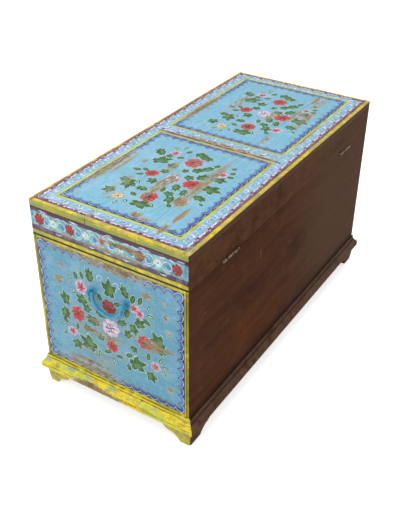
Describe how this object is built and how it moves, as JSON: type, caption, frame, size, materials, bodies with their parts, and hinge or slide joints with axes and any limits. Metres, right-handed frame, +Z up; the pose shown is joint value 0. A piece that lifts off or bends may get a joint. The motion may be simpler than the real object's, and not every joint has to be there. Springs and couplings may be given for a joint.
{
  "type": "painted chest",
  "caption": "Oblong plank dowry chest on a moulded plinth with bracket feet, hinged box lid, bail handles on its ends and a hasp on the front.",
  "frame": {"origin": "on the floor, at the middle of the footprint", "axes": "+Z up; X along the chest, whose painted ends with the bail handles face +X and -X; the hinged bare wood back faces +Y and the front with the hasp faces -Y"},
  "size_m": [1.1442, 0.5354, 0.6236],
  "materials": {
    "front_board_paint": "hand painted, worn, inside face bare",
    "back_board_wood": "dark brown stained planks, worn",
    "end_board_paint": "hand painted, worn, inside face bare",
    "bare_wood": "bare sawn planks",
    "plinth_paint": "yellow paint, chipped",
    "plinth_back_wood": "dark brown stained moulding",
    "foot_paint": "yellow paint, chipped to brown",
    "foot_back_wood": "dark brown stained brackets",
    "hinge_steel": "dull worn steel",
    "nail_iron": "dull iron",
    "handle_paint": "blue paint over forged iron, worn",
    "black_iron": "dull forged iron",
    "lid_rail_paint": "hand painted, worn, inside face bare",
    "lid_back_wood": "dark brown stained plank, worn",
    "lid_top_paint": "hand painted, worn, underside bare"
  },
  "bodies": {
    "carcass": {"front_upper_board": "front_board_paint", "front_lower_board": "front_board_paint", "back_upper_board": "back_board_wood", "back_lower_board": "back_board_wood", "left_end_upper_board": "end_board_paint", "left_end_lower_board": "end_board_paint", "right_end_upper_board": "end_board_paint", "right_end_lower_board": "end_board_paint", "floor_board_front": "bare_wood", "floor_board_middle": "bare_wood", "floor_board_back": "bare_wood", "floor_bearer_left": "bare_wood", "floor_bearer_right": "bare_wood", "plinth_front_moulding": "plinth_paint", "plinth_back_moulding": "plinth_back_wood", "plinth_left_moulding": "plinth_paint", "plinth_right_moulding": "plinth_paint", "foot_front_left_long": "foot_paint", "foot_front_right_long": "foot_paint", "foot_back_left_long": "foot_back_wood", "foot_back_right_long": "foot_back_wood", "foot_front_left_end": "foot_paint", "foot_front_right_end": "foot_paint", "foot_back_left_end": "foot_paint", "foot_back_right_end": "foot_paint", "foot_blocks": "bare_wood", "left_hinge_body_leaf": "hinge_steel", "right_hinge_body_leaf": "hinge_steel", "left_hinge_pin": "hinge_steel", "right_hinge_pin": "hinge_steel", "hinge_body_screws": "hinge_steel", "carcass_nails": "nail_iron", "plinth_nails": "nail_iron", "left_handle_eyes": "handle_paint", "right_handle_eyes": "handle_paint", "handle_roses": "handle_paint", "handle_washers": "black_iron", "hasp_plate": "black_iron", "hasp_plate_nails": "nail_iron", "hasp_pin": "black_iron"},
    "lid": {"lid_front_rail": "lid_rail_paint", "lid_back_rail": "lid_back_wood", "lid_left_rail": "lid_rail_paint", "lid_right_rail": "lid_rail_paint", "lid_top_front_board": "lid_top_paint", "lid_top_middle_board": "lid_top_paint", "lid_top_back_board": "lid_top_paint", "lid_batten_left": "bare_wood", "lid_batten_right": "bare_wood", "lid_nails": "nail_iron", "left_hinge_lid_leaf": "hinge_steel", "right_hinge_lid_leaf": "hinge_steel", "hinge_lid_screws": "hinge_steel", "staple": "black_iron", "staple_nails": "nail_iron"},
    "left_bail": {"left_handle_bail": "handle_paint"},
    "right_bail": {"right_handle_bail": "handle_paint"},
    "hasp": {"hasp_strap": "black_iron"}
  },
  "joints": [
    {"name": "lid_hinge", "type": "hinge", "parent": "carcass", "child": "lid", "pos_m": [0, 0.2505, 0.5203], "axis": [-1, 0, 0], "range_deg": [0, 105]},
    {"name": "right_bail_swing", "type": "hinge", "parent": "carcass", "child": "right_bail", "pos_m": [0.563, 0, 0.405], "axis": [0, -1, 0], "range_deg": [-6, 186]},
    {"name": "left_bail_swing", "type": "hinge", "parent": "carcass", "child": "left_bail", "pos_m": [-0.563, 0, 0.405], "axis": [0, 1, 0], "range_deg": [-6, 186]},
    {"name": "hasp_swing", "type": "hinge", "parent": "carcass", "child": "hasp", "pos_m": [0, -0.2543, 0.498], "axis": [-1, 0, 0], "range_deg": [0, 180]}
  ]
}
